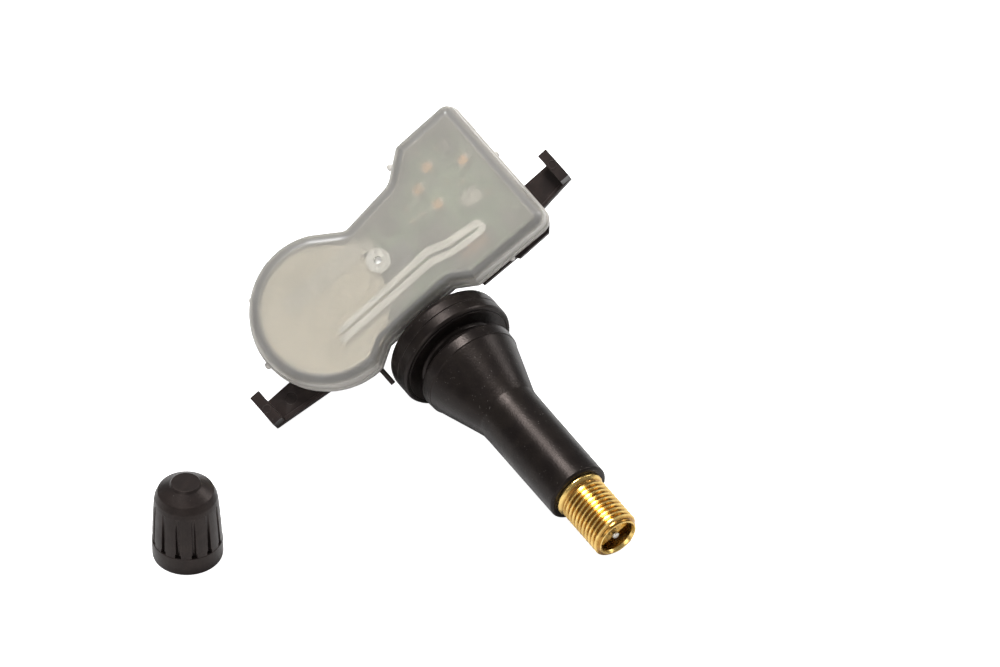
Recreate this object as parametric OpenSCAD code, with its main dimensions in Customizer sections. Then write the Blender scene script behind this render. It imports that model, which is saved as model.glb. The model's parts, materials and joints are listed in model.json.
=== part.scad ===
// Snap-in tyre pressure sensor with its rubber valve, and the dust cap standing beside it.
// The sensor lies on a table on three points: the valve flange, the tip of the thread and
// the foot of the left arm. All sizes are millimetres.
//
// Two frames are used. The sensor frame has its origin at the middle of the valve flange,
// x along the housing to the square end, y away from the valve and z out of the clear face.
// The valve frame has its z along the stem, out of the wheel, from the same origin.

/* [Valve rubber] */
// Radius of the flange that stays inside the wheel
flange_r = 9.7; // [8.5:0.1:9.8]
// Stem position of the flange's back face
flange_back = -3.3; // [-3.6:0.1:-3]
// Stem position where the flange's widest ring ends
flange_ring_end = 0.2; // [-0.4:0.1:0.6]
// Stem position of the flange's front face
flange_front = 1.1; // [0.9:0.1:1.4]
// Radius of the groove that the wheel's hole closes on
groove_r = 6.2; // [5.9:0.1:6.6]
// Stem position where the groove ends and the shoulder begins
shoulder_start = 3.2; // [3:0.1:3.6]
// Radius of the shoulder that snaps through the wheel's hole
shoulder_r = 8.1; // [7.4:0.1:8.4]
// Stem position where the shoulder turns into the cone
cone_start = 5.4; // [5:0.1:6]
// Stem position where the cone meets the straight stem
cone_end = 13.9; // [12:0.1:16]
// Radius of the rubber along the straight stem
rubber_r = 5; // [4.6:0.05:5.4]
// Stem position of the rubber's outer end
rubber_end = 33.4; // [32:0.1:34]

/* [Valve stem] */
// Radius of the valve thread over its crests
thread_r = 3.85; // [3.8:0.01:3.88]
// Stem position where the thread's full crests end
thread_end = 43; // [42:0.1:43.4]
// Stem position of the brass tip
stem_tip = 43.7; // [43.5:0.1:44.5]
// Radius of the brass inside the rubber
stem_r = 3.1; // [2.9:0.05:3.3]
// Radius of the bore that takes the valve core
core_bore_r = 2.7; // [2.65:0.05:2.8]
// Radius of the chamber below the core's seat
chamber_r = 1.95; // [1.9:0.05:2.1]
// How far the valve pin can be pushed in
pin_travel = 1.2; // [0.5:0.1:1.5]

/* [Sensor housing] */
// Angle between the stem and the plane of the housing
valve_tilt = 20; // [18:1:22]
// Radius of the round battery end
round_r = 12.1; // [11.9:0.1:12.6]
// Bottom of the black carrier plate
carrier_low = 0.9; // [0.6:0.1:1.1]
// Thickness of the black carrier plate
carrier_t = 1; // [0.8:0.1:1.2]
// Height of the clear cover above the carrier plate
cover_h = 4.8; // [4.6:0.1:5.2]
// Thickness of the clear cover's walls
wall_t = 1.1; // [0.9:0.05:1.2]
// Thickness of the clear cover's face
face_t = 0.9; // [0.7:0.05:1]

/* [Battery and board] */
// Radius of the coin cell
cell_r = 10; // [9.5:0.1:10]
// Height of the coin cell
cell_h = 3.2; // [2.5:0.1:3.2]
// Thickness of the circuit board
board_t = 0.6; // [0.4:0.1:0.8]

/* [Dust cap] */
// Height of the dust cap
cap_h = 13.8; // [13:0.1:15]
// Radius of the cap's base ring
cap_r = 5.3; // [5.2:0.05:5.6]
// Radius of the cap's threaded bore
cap_bore_r = 4; // [3.95:0.01:4.05]
// Number of grooves round the cap
cap_grooves = 13; // [8:1:16]
// Cap's place beside the sensor, to the left of the flange
cap_x = -39.5; // [-60:0.1:-36]
// Cap's place beside the sensor, in front of the flange
cap_y = -34.6; // [-50:0.1:-25]

/* [Hidden] */
$fn = 96;

// Stem positions, from the inner end to the tip
stem_foot = flange_back - 0.2;
boss_t = 1.6;
screw_seat = stem_foot - boss_t;
screw_head_h = 1.4;
screw_r = 1.5;
screw_end = 2;
air_r = 1.2;
chamber_low = 22;
seat_low = 33.4;
seat_high = 34.6;
plug_low = 37.2;
plug_ears = 40.2;
plug_top = 42.2;
barrel_low = 27.5;
barrel_top = plug_low - 0.1;
barrel_r = 1.8;
spring_low = barrel_low + 2;
spring_top = 34.4;
pin_r = 0.6;
running_gap = 0.08;
cup_room = 2.5;
pin_low = chamber_low + pin_travel + cup_room;
pin_tip = plug_top + pin_travel - 0.1;
collar_t = 0.5;
cup_seal_top = barrel_low - 0.05;
neck_r = thread_r - 0.3;
cap_seal_low = 9.3;
cup_top = pin_low + 0.9;

// Levels in the sensor frame
floor_top = carrier_low + carrier_t;
cover_top = floor_top + cover_h;
ceiling = cover_top - face_t;
tab_t = 0.13;
cell_low = floor_top + 0.02 + tab_t;
cell_top = cell_low + cell_h;
board_low = floor_top + 0.1;
board_top = board_low + board_t;

// Outline of the housing in the sensor frame, counter-clockwise, with the radius of each corner
cell_centre = [-10.4, 16.9];
square_end = [[-7, 5.4], [9.6, 4.5], [24.5, 4], [24.7, 28.9], [13.7, 28.9], [9, 25.3],
              [-0.2, 24.4], [-4.72, 27.58], cell_centre];
square_radii = [0, 0, 2.3, 2, 1.6, 3, 1.2, 0, 0];
notch = [[-10.8, -5], [9.9, -5], [9.9, 4.3], [6.4, 6.6], [-6.6, 6.6], [-10.8, 4.2]];
corner_steps = 6;

// Pegs of the carrier that pass through the board
post_places = [[21, 8.6], [21, 25.6]];
post_r = 0.55;

// Strips welded to the two sides of the cell
tab_w = 3;
tab_low_y = 10.6;
tab_high_y = 19.2;

// Arms and hooks
left_foot = [-27.8, 8.9];
hook_high = 5;
hook_finger_low = 3.6;

// The three-point rest: dip of the stem, roll about the stem and height of the flange's middle
stem_azimuth = -55.56;
dip = atan((flange_r - thread_r) / (thread_end - flange_ring_end));
flange_height = flange_r * cos(dip) + flange_ring_end * sin(dip);
roll_a = left_foot[0] * cos(dip);
roll_b = cos(dip) * (left_foot[1] * sin(valve_tilt) + carrier_low * cos(valve_tilt));
roll_c = flange_height + sin(dip) * (left_foot[1] * cos(valve_tilt) - carrier_low * sin(valve_tilt));
roll = 180 + asin(roll_c / norm([roll_a, roll_b])) - atan2(roll_b, roll_a);
stem_dir = [cos(dip) * cos(stem_azimuth), cos(dip) * sin(stem_azimuth), -sin(dip)];
level_dir = [-sin(stem_azimuth), cos(stem_azimuth), 0];
rise_dir = cross(stem_dir, level_dir);
long_dir = level_dir * cos(roll) + rise_dir * sin(roll);
side_dir = cross(stem_dir, long_dir);
face_dir = side_dir * cos(valve_tilt) + stem_dir * sin(valve_tilt);
back_dir = side_dir * sin(valve_tilt) - stem_dir * cos(valve_tilt);

// Middle of the whole layout, seen from above, measured from the flange's middle
layout_centre = [-8.73, -6.15];

function unit(v) = v / norm(v);
function left_normal(v) = [-v[1], v[0]];

// Moves every side of a counter-clockwise outline inwards by d
function inset(p, d) = [
    for (i = [0 : len(p) - 1])
        let (a = p[(i + len(p) - 1) % len(p)], b = p[i], c = p[(i + 1) % len(p)])
        let (m = left_normal(unit(b - a)), n = left_normal(unit(c - b)))
        b + d * (m + n) / (1 + m * n)
];

// Points of one rounded corner at b, between its neighbours a and c
function corner(a, b, c, r) =
    r <= 0 ? [b] :
    let (u = unit(a - b), v = unit(c - b), half = acos(u * v) / 2)
    let (o = b + unit(u + v) * r / sin(half), s = b + u * r / tan(half), e = b + v * r / tan(half))
    let (from = atan2(s[1] - o[1], s[0] - o[0]), to = atan2(e[1] - o[1], e[0] - o[0]))
    let (turn = (to - from + 540) % 360 - 180)
    [for (k = [0 : corner_steps]) o + r * [cos(from + turn * k / corner_steps),
                                           sin(from + turn * k / corner_steps)]];

function softened(p, r) = [
    for (i = [0 : len(p) - 1])
        each corner(p[(i + len(p) - 1) % len(p)], p[i], p[(i + 1) % len(p)], r[i])
];

// Places its children from the sensor frame onto the table
module sensor_place() {
    multmatrix([[long_dir[0], back_dir[0], face_dir[0], -layout_centre[0]],
                [long_dir[1], back_dir[1], face_dir[1], -layout_centre[1]],
                [long_dir[2], back_dir[2], face_dir[2], flange_height],
                [0, 0, 0, 1]])
        children();
}

// Places its children from the valve frame onto the table
module valve_place() {
    sensor_place()
        rotate([90 - valve_tilt, 0, 0])
            children();
}

module cap_place() {
    translate([cap_x - layout_centre[0], cap_y - layout_centre[1], 0])
        children();
}

// Housing outline, moved inwards by d
module housing_2d(d) {
    difference() {
        union() {
            translate(cell_centre) circle(r = round_r - d);
            polygon(softened(inset(square_end, d), square_radii));
        }
        polygon(inset(notch, -d));
    }
}

// Slab of the housing outline between two levels
module housing_slab(d, low, high) {
    translate([0, 0, low])
        linear_extrude(high - low)
            housing_2d(d);
}

// Solid of revolution between stem positions, with an optional bore
module stem_ring(r, bore, low, high) {
    translate([0, 0, low])
        difference() {
            cylinder(r = r, h = high - low);
            translate([0, 0, -1]) cylinder(r = bore, h = high - low + 2);
        }
}

// Box in the sensor frame from its middle, its size and its lowest level
module chip(x, y, size) {
    translate([x - size[0] / 2, y - size[1] / 2, board_top])
        cube(size);
}

// Small moulding gates round the clear cover's rim
module cover_gates() {
    gate_r = 0.55;
    for (p = [[-17.9, 26.1], [-22.5, 16.9], [11.2, 27.4], [24.4, 18], [15.9, 4.5]])
        translate([p[0], p[1], floor_top])
            cylinder(r = gate_r, h = 1.1);
}

// Looped bead moulded under the face
module cover_bead() {
    bead_w = 1;
    loop_r = 1.3;
    span = 27;
    translate([2, 12.1, ceiling - 0.3])
        linear_extrude(0.5)
            difference() {
                square([span, 2 * loop_r + bead_w], center = true);
                square([span - 2 * bead_w, 2 * loop_r - bead_w], center = true);
            }
}

module clear_cover() {
    port = [0.5, 16.9];
    rim_h = 1.2;
    color([0.78, 0.77, 0.7, 0.6])
        sensor_place() {
            difference() {
                union() {
                    housing_slab(0, floor_top, floor_top + rim_h);
                    housing_slab(0.3, floor_top + rim_h, cover_top - 1.2);
                    housing_slab(0.7, cover_top - 1.2, cover_top - 0.5);
                    housing_slab(1.1, cover_top - 0.5, cover_top);
                    cover_gates();
                }
                housing_slab(wall_t, floor_top - 1, ceiling - 1.6);
                housing_slab(wall_t + 0.4, ceiling - 2, ceiling);
                translate([cell_centre[0], cell_centre[1], floor_top - 1])
                    cylinder(r = cell_r + 0.1, h = cell_top - floor_top + 1.1);
                translate([port[0], port[1], ceiling - 1]) cylinder(r = 2, h = 1.3);
                translate([port[0], port[1], ceiling]) cylinder(r = 0.6, h = face_t + 1);
            }
            cover_bead();
        }
}

module port_membrane() {
    color("white")
        sensor_place()
            translate([0.5, 16.9, ceiling + 0.05])
                cylinder(r = 1.9, h = 0.25);
}

// Arm that reaches out under the clear cover, with its upright hook and finger
module arm(outline, wall_x, wall_w, wall_y, finger_y) {
    translate([0, 0, carrier_low])
        linear_extrude(carrier_t)
            polygon(outline);
    translate([wall_x, wall_y[0], carrier_low])
        cube([wall_w, wall_y[1] - wall_y[0], hook_high - carrier_low]);
    translate([wall_x, wall_y[0], hook_finger_low])
        cube([wall_w, finger_y - wall_y[0], hook_high - hook_finger_low]);
}

// Lug that the stem is screwed to, with a gusset on each side
module stem_lug() {
    lug_r = 4.4;
    lug_rise = 3.2;
    gusset_t = 1;
    gusset_x = lug_r - 0.4 - gusset_t;
    rotate([90 - valve_tilt, 0, 0])
        difference() {
            translate([0, 0, screw_seat]) {
                cylinder(r = lug_r, h = boss_t);
                translate([-lug_r, 0, 0]) cube([2 * lug_r, lug_rise, boss_t]);
            }
            translate([0, 0, screw_seat - 1]) cylinder(r = screw_r + 0.2, h = boss_t + 2);
        }
    for (x = [-gusset_x - gusset_t, gusset_x])
        translate([x, 0, 0])
            rotate([90, 0, 90])
                linear_extrude(gusset_t)
                    polygon([[4.9, carrier_low + 0.1], [10.5, carrier_low + 0.1], [5.5, -2.6]]);
}

module carrier() {
    tongue = [[-5, 4.55], [5, 4.55], [5, 8], [-5, 8]];
    lower_lip = [[10, 6], [10, 4.2], [16.5, 4], [16.8, 3.6], [22.6, 3.6], [23.8, 4.9], [23.8, 6]];
    color([0.13, 0.12, 0.12])
        sensor_place() {
            difference() {
                union() {
                    housing_slab(0.2, carrier_low, floor_top);
                    translate([0, 0, carrier_low])
                        linear_extrude(carrier_t) {
                            polygon(tongue);
                            polygon(lower_lip);
                        }
                    arm([left_foot, [-17, 7.6], [-15, 12.9], [-27.8, 12.9]], -27.8, 1.7, [8.9, 12.9], 14.4);
                    arm([[22, 6.7], [30.6, 7.6], [30.6, 11.6], [22, 11.6]], 29, 1.6, [7.6, 11.6], 12.9);
                    translate([-10.1, 5.5, carrier_low + carrier_t / 2]) rotate([90, 0, 0]) cylinder(r = 0.4, h = 3.3);
                    translate([24, 23.3, carrier_low]) cube([0.7, 1.6, carrier_t]);
                }
                translate([-23.2, 10.9, floor_top - 0.25]) cylinder(r = 0.95, h = 1);
            }
            stem_lug();
            for (p = post_places)
                translate([p[0], p[1], carrier_low + 0.3])
                    cylinder(r = post_r, h = board_top + 0.1 - carrier_low);
        }
}

module circuit_board() {
    color([0.16, 0.36, 0.24])
        sensor_place()
            difference() {
                housing_slab(2.4, board_low, board_top);
                translate([cell_centre[0], cell_centre[1], board_low - 1])
                    cylinder(r = cell_r + 1.2, h = board_t + 2);
                for (p = post_places)
                    translate([p[0], p[1], board_low - 1])
                        cylinder(r = post_r + 0.1, h = board_t + 2);
                translate([-2, tab_low_y - 0.2, board_low - 1]) cube([2.3, tab_w + 0.4, board_t + 2]);
            }
}

module battery_cell() {
    crimp = 0.3;
    color([0.78, 0.76, 0.7])
        sensor_place()
            translate([cell_centre[0], cell_centre[1], cell_low])
                rotate_extrude()
                    polygon([[0, 0], [cell_r - 1.2, 0], [cell_r - 1.2, crimp], [cell_r - crimp, crimp],
                             [cell_r, 2 * crimp], [cell_r, cell_h - crimp], [cell_r - crimp, cell_h],
                             [0, cell_h]]);
}

// Flat strip under or over the cell, with a leg and a foot on the board
module battery_tab(y, strip_low, leg_low, leg_high) {
    leg_x = -0.1;
    strip_l = 15;
    foot_l = 1.8;
    translate([leg_x + tab_t - strip_l, y, strip_low]) cube([strip_l, tab_w, tab_t]);
    translate([leg_x, y, leg_low]) cube([tab_t, tab_w, leg_high - leg_low]);
    translate([leg_x, y, board_top]) cube([foot_l, tab_w, tab_t]);
}

module battery_tab_positive() {
    color([0.75, 0.74, 0.7])
        sensor_place()
            battery_tab(tab_high_y, cell_top, board_top, cell_top + tab_t);
}

module battery_tab_negative() {
    color([0.75, 0.74, 0.7])
        sensor_place()
            battery_tab(tab_low_y, cell_low - tab_t, cell_low - tab_t, board_top + tab_t);
}

module pressure_sensor() {
    color([0.2, 0.21, 0.24])
        sensor_place()
            difference() {
                chip(3.4, 15.4, [4, 4, 1.6]);
                translate([2.6, 15.4, board_top + 0.8]) cylinder(r = 0.6, h = 2);
            }
}

module controller_chip() {
    color([0.1, 0.1, 0.11])
        sensor_place()
            chip(9.2, 14, [5, 5, 0.9]);
}

module motion_sensor() {
    color([0.14, 0.14, 0.15])
        sensor_place()
            chip(5, 21, [3, 3, 1]);
}

module crystal() {
    color([0.8, 0.8, 0.78])
        sensor_place()
            chip(17.4, 15.4, [3.2, 2.5, 0.8]);
}

module tantalum_capacitors() {
    color([0.85, 0.58, 0.3])
        sensor_place()
            for (p = [[15.4, 23.3], [20.2, 20.4], [12.1, 21.6], [12.9, 17.9]])
                chip(p[0], p[1], [2, 1.3, 1.2]);
}

module ceramic_capacitors() {
    color([0.66, 0.55, 0.42])
        sensor_place()
            for (p = [[8.4, 18.4], [10.1, 18.4], [8.6, 20.6], [16.2, 19.6], [17.9, 18], [19.8, 14.2],
                      [18.4, 24.6], [15.6, 26.2]])
                chip(p[0], p[1], [1, 0.6, 0.6]);
}

module resistors() {
    color([0.12, 0.12, 0.13])
        sensor_place()
            for (p = [[8.2, 21.8], [9.8, 21.8], [17.6, 21.6], [20.4, 17.2], [20.4, 11.6], [13.2, 14.9],
                      [14.6, 20.6]])
                chip(p[0], p[1], [1, 0.55, 0.4]);
}

// Bobbin-less ferrite bar, with wider feet at its ends
module coil_core() {
    color([0.2, 0.19, 0.19])
        sensor_place() {
            chip(12.8, 9.2, [7.4, 1.2, 1.6]);
            for (x = [9.6, 16])
                chip(x, 9.2, [1, 2.6, 2.4]);
        }
}

module coil_winding() {
    color([0.72, 0.42, 0.2])
        sensor_place()
            translate([12.8 - 2.6, 9.2 - 1.1, board_top + 0.15])
                difference() {
                    cube([5.2, 2.2, 1.9]);
                    translate([-1, 0.48, -0.2]) cube([7.2, 1.24, 1.67]);
                }
}

// Rubber body of the valve, bonded to the brass stem
module valve_rubber() {
    groove_lip = 0.3;
    color([0.12, 0.11, 0.11])
        valve_place()
            rotate_extrude()
                polygon([[stem_r, flange_back], [flange_r - 0.6, flange_back], [flange_r - 0.2, flange_back + 0.5],
                         [flange_r, -1.6], [flange_r, flange_ring_end], [flange_r - 0.2, flange_front - 0.4],
                         [flange_r - 0.7, flange_front], [groove_r + groove_lip, flange_front],
                         [groove_r, flange_front + groove_lip], [groove_r, shoulder_start - groove_lip],
                         [groove_r + groove_lip, shoulder_start], [shoulder_r - 0.3, shoulder_start],
                         [shoulder_r, shoulder_start + 0.3], [shoulder_r, cone_start], [shoulder_r - 0.2, cone_start],
                         [rubber_r + 0.35, cone_end - 0.6], [rubber_r + 0.08, cone_end + 0.4], [rubber_r, cone_end + 1.6],
                         [rubber_r - 0.1, rubber_end - 1.2], [rubber_r, rubber_end - 0.7],
                         [rubber_r - 0.3, rubber_end], [neck_r + 0.05, rubber_end],
                         [neck_r + 0.05, rubber_end - 0.8], [stem_r, rubber_end - 0.8]]);
}

module valve_stem() {
    color([0.83, 0.64, 0.27])
        valve_place()
            difference() {
                union() {
                    translate([0, 0, stem_foot]) cylinder(r = stem_r, h = rubber_end - 0.8 - stem_foot);
                    translate([0, 0, rubber_end - 0.8]) cylinder(r = neck_r, h = 1);
                    translate([0, 0, rubber_end + 0.02]) cylinder(r = thread_r, h = thread_end - rubber_end - 0.02);
                    translate([0, 0, thread_end])
                        cylinder(r1 = thread_r, r2 = thread_r - 0.4, h = stem_tip - thread_end);
                }
                translate([0, 0, stem_foot - 1]) cylinder(r = screw_r, h = screw_end + 1.5 - stem_foot);
                translate([0, 0, 0]) cylinder(r = air_r, h = chamber_low + 1);
                translate([0, 0, chamber_low]) cylinder(r = chamber_r, h = seat_low - chamber_low + 0.5);
                translate([0, 0, seat_low]) cylinder(r1 = chamber_r, r2 = core_bore_r, h = seat_high - seat_low);
                translate([0, 0, seat_high]) cylinder(r = core_bore_r, h = stem_tip - seat_high + 1);
                translate([0, 0, stem_tip - 0.4]) cylinder(r1 = core_bore_r, r2 = core_bore_r + 0.5, h = 0.5);
            }
}

// Hollow screw that holds the stem to the carrier and lets the air through
module stem_screw() {
    head_r = 2.3;
    socket_r = 1.15;
    socket_depth = 0.9;
    color([0.7, 0.7, 0.72])
        valve_place()
            difference() {
                union() {
                    translate([0, 0, screw_seat - screw_head_h]) cylinder(r = head_r, h = screw_head_h);
                    translate([0, 0, screw_seat]) cylinder(r = screw_r, h = screw_end - screw_seat);
                }
                translate([0, 0, screw_seat - screw_head_h - 1]) cylinder(r = socket_r, h = socket_depth + 1, $fn = 6);
                translate([0, 0, screw_seat - screw_head_h - 1]) cylinder(r = 0.5, h = screw_end + 20);
            }
}

// Threaded top of the valve core: a disc with air holes and two ears for the core tool
module core_plug() {
    plug_r = core_bore_r - running_gap;
    ear_w = 2.3;
    color([0.83, 0.64, 0.27])
        valve_place()
            difference() {
                union() {
                    translate([0, 0, plug_low]) cylinder(r = plug_r, h = plug_ears - plug_low);
                    intersection() {
                        translate([0, 0, plug_ears - 1]) cylinder(r = plug_r, h = plug_top - plug_ears + 1);
                        translate([-3, -ear_w / 2, plug_ears - 1]) cube([6, ear_w, plug_top - plug_ears + 1]);
                    }
                }
                translate([0, 0, plug_low - 1]) cylinder(r = pin_r + running_gap, h = plug_top - plug_low + 2);
                for (y = [-1.75, 1.75])
                    translate([0, y, plug_low - 1]) cylinder(r = 0.45, h = plug_top - plug_low + 2);
            }
}

module core_barrel() {
    color([0.8, 0.62, 0.28])
        valve_place()
            difference() {
                translate([0, 0, barrel_low]) cylinder(r = barrel_r, h = barrel_top - barrel_low);
                translate([0, 0, spring_low]) cylinder(r = 1.35, h = barrel_top - spring_low + 1);
                translate([0, 0, barrel_low - 1]) cylinder(r = pin_r + 0.3, h = spring_low - barrel_low + 2);
            }
}

// Soft ring that seals the core on the stem's conical seat
module core_gasket() {
    color([0.6, 0.1, 0.08])
        valve_place()
            rotate_extrude()
                polygon([[barrel_r, seat_low + 0.15], [chamber_r + 0.05, seat_low + 0.15],
                         [core_bore_r - 0.06, seat_high + 0.02], [core_bore_r - 0.06, seat_high + 1],
                         [barrel_r, seat_high + 1]]);
}

module core_spring() {
    color([0.75, 0.75, 0.75])
        valve_place()
            stem_ring(1.05, 0.8, spring_low + 0.02, spring_top - 0.02);
}

module core_pin() {
    color([0.72, 0.7, 0.66])
        valve_place() {
            translate([0, 0, pin_low]) cylinder(r = pin_r, h = pin_tip - pin_low);
            translate([0, 0, spring_top]) cylinder(r = 1.03, h = collar_t);
        }
}

module core_cup() {
    color([0.8, 0.62, 0.28])
        valve_place()
            stem_ring(1.6, pin_r, pin_low, cup_top);
}

module core_cup_seal() {
    color([0.15, 0.15, 0.15])
        valve_place()
            stem_ring(1.5, pin_r, cup_top, cup_seal_top);
}

// Threaded dust cap with a domed, grooved outside
module cap_shell() {
    ring_h = 3;
    groove_depth = 0.5;
    groove_w = 0.9;
    bore_h = 10.2;
    color([0.13, 0.12, 0.12])
        cap_place()
            difference() {
                rotate_extrude()
                    polygon([[0, 0], [cap_r - 0.15, 0], [cap_r, 0.3], [cap_r, 9.6], [cap_r - 0.3, 11],
                             [cap_r - 0.9, 12.3], [cap_r - 1.8, 13.2], [cap_r - 2.7, 13.65], [cap_r - 3.3, cap_h],
                             [0, cap_h]]);
                translate([0, 0, -1]) cylinder(r = cap_bore_r, h = cap_seal_low + 1);
                translate([0, 0, cap_seal_low]) cylinder(r = cap_bore_r + 0.2, h = bore_h - cap_seal_low);
                for (i = [0 : cap_grooves - 1])
                    rotate([0, 0, 360 * i / cap_grooves])
                        translate([cap_r - groove_depth, -groove_w / 2, ring_h])
                            cube([2, groove_w, 7]);
            }
}

module cap_seal() {
    color([0.4, 0.4, 0.4])
        cap_place()
            stem_ring(cap_bore_r + 0.15, 2.4, cap_seal_low, 10.2);
}

clear_cover();
carrier();
circuit_board();
battery_cell();
battery_tab_positive();
battery_tab_negative();
pressure_sensor();
controller_chip();
motion_sensor();
crystal();
tantalum_capacitors();
ceramic_capacitors();
resistors();
coil_core();
coil_winding();
port_membrane();
valve_rubber();
valve_stem();
stem_screw();
core_plug();
core_barrel();
core_gasket();
core_spring();
core_pin();
core_cup();
core_cup_seal();
cap_shell();
cap_seal();
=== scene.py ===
"""Looks of a snap-in tyre pressure sensor and its dust cap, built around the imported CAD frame.

Sizes inside the classes are millimetres in one of three local frames. The sensor frame has
x along the housing, y away from the valve and z out of the clear face. The valve frame has z
along the stem. The cap frame stands on the table under the middle of the dust cap.
"""

import json
import logging
import math
from dataclasses import dataclass, field
from enum import Enum
from typing import Callable, ClassVar, Optional, Sequence, Union

import bmesh
import bpy
from bmesh.types import BMesh
from mathutils import Matrix, Vector


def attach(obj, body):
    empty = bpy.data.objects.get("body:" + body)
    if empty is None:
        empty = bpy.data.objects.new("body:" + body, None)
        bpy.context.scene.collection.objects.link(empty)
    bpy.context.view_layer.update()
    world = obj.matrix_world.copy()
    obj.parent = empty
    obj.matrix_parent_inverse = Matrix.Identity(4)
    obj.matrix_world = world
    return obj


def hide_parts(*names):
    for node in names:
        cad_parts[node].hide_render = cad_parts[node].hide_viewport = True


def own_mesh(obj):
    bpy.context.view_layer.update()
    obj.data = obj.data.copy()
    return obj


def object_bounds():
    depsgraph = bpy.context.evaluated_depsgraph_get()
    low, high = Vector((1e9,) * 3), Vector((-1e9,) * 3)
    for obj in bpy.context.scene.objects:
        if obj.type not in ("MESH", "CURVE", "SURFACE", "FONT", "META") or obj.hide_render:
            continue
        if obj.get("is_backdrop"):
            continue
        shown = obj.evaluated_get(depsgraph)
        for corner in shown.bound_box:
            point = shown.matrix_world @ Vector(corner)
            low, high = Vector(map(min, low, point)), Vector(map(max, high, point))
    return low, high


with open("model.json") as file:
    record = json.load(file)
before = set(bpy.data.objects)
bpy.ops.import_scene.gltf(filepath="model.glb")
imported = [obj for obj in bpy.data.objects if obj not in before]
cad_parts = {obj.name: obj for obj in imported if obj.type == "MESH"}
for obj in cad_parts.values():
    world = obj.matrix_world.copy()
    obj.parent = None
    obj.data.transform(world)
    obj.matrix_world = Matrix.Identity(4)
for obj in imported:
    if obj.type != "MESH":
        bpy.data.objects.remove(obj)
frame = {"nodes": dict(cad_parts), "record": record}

CAD_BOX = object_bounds()
MM = 0.001
MERGE = 0.0005
CARVE_SLOTS = 3
BEVEL_ANGLE = 35
log = logging.getLogger("tyre_sensor")

Point = tuple[float, float]
Corner = tuple[float, float, float]
Colour = tuple[float, float, float]
Value = Union[float, Sequence[float], bpy.types.NodeSocket]


class Body(str, Enum):
    """The CAD bodies that pieces ride on."""

    SENSOR = "sensor"
    PIN = "valve_pin"
    CAP = "dust_cap"


@dataclass(frozen=True)
class Places:
    """Matrices from each local frame in millimetres to the table frame in metres.

    Args:
        sensor: Frame of the housing.
        valve: Frame of the stem.
        cap: Frame of the dust cap.
        table: The CAD's own frame.
    """

    sensor: Matrix
    valve: Matrix
    cap: Matrix
    table: Matrix

    @classmethod
    def from_frame(cls) -> "Places":
        """Works the frames out from the record's mounts and the lie of the circuit board.

        Returns:
            The four matrices.
        """
        groove_middle = 2.15
        mounts = {mount["name"]: mount for mount in frame["record"]["mounts"]}
        stem = Vector(mounts["rim_groove"]["axis"]).normalized()
        origin = Vector(mounts["rim_groove"]["pos_m"]) - stem * groove_middle * MM
        face = widest_face_direction("circuit_board")
        if face.dot(stem) < 0:
            face.negate()
        along = face.cross(stem).normalized()
        bore = Vector(mounts["cap_thread"]["pos_m"])
        return cls(
            sensor=axes_matrix(origin, along, face.cross(along), face),
            valve=axes_matrix(origin, along, stem.cross(along), stem),
            cap=axes_matrix(Vector((bore.x, bore.y, 0)), *Matrix.Identity(3)),
            table=Matrix.Scale(MM, 4),
        )


def widest_face_direction(node: str) -> Vector:
    """Finds the direction that most of a CAD node's area faces.

    Args:
        node: Name of the CAD node.

    Returns:
        A unit vector.
    """
    areas: dict[tuple[float, ...], float] = {}
    for polygon in frame["nodes"][node].data.polygons:
        key = tuple(round(c, 3) for c in polygon.normal)
        areas[key] = areas.get(key, 0) + polygon.area
    return Vector(max(areas, key=areas.get)).normalized()


def axes_matrix(origin: Vector, x: Vector, y: Vector, z: Vector) -> Matrix:
    """Makes the matrix of a local frame in millimetres.

    Args:
        origin: Origin in metres.
        x: Unit direction of the frame's x.
        y: Unit direction of the frame's y.
        z: Unit direction of the frame's z.

    Returns:
        The matrix to metres.
    """
    matrix = Matrix((x, y, z)).transposed().to_4x4() @ Matrix.Scale(MM, 4)
    matrix.translation = origin
    return matrix


# ---------------------------------------------------------------- outlines and meshes


def arc(centre: Point, radius: float, start: float, end: float, steps: int) -> list[Point]:
    """Points along an arc."""
    angles = [math.radians(start + (end - start) * i / steps) for i in range(steps + 1)]
    return [(centre[0] + radius * math.cos(a), centre[1] + radius * math.sin(a)) for a in angles]


def rounded(corners: Sequence[Corner], steps: int = 5, closed: bool = True) -> list[Point]:
    """Replaces the corners of an outline by tangent arcs.

    Args:
        corners: Points, each with the radius of its arc; 0 keeps the corner sharp.
        steps: Chords in each arc.
        closed: Whether the last corner joins the first.

    Returns:
        The softened outline.
    """
    points: list[Point] = []
    last = len(corners) - 1
    for i, (x, y, radius) in enumerate(corners):
        if radius <= 0 or (not closed and i in (0, last)):
            points.append((x, y))
            continue
        here = Vector((x, y))
        back = (Vector(corners[i - 1][:2]) - here).normalized()
        ahead = (Vector(corners[(i + 1) % len(corners)][:2]) - here).normalized()
        half = back.angle(ahead) / 2
        centre = here + (back + ahead).normalized() * radius / math.sin(half)
        first, second = (here + way * radius / math.tan(half) - centre for way in (back, ahead))
        begin = math.degrees(math.atan2(first.y, first.x))
        turn = math.degrees(math.atan2(second.y, second.x)) - begin
        turn = (turn + 180) % 360 - 180
        points += arc((centre.x, centre.y), radius, begin, begin + turn, steps)
    return points


def outward(bm: BMesh) -> BMesh:
    """Turns the normals of a closed mesh outward.

    Args:
        bm: The mesh.

    Returns:
        The same mesh.
    """
    bmesh.ops.recalc_face_normals(bm, faces=bm.faces)
    if bm.calc_volume(signed=True) < 0:
        bmesh.ops.reverse_faces(bm, faces=bm.faces)
    return bm


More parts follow.
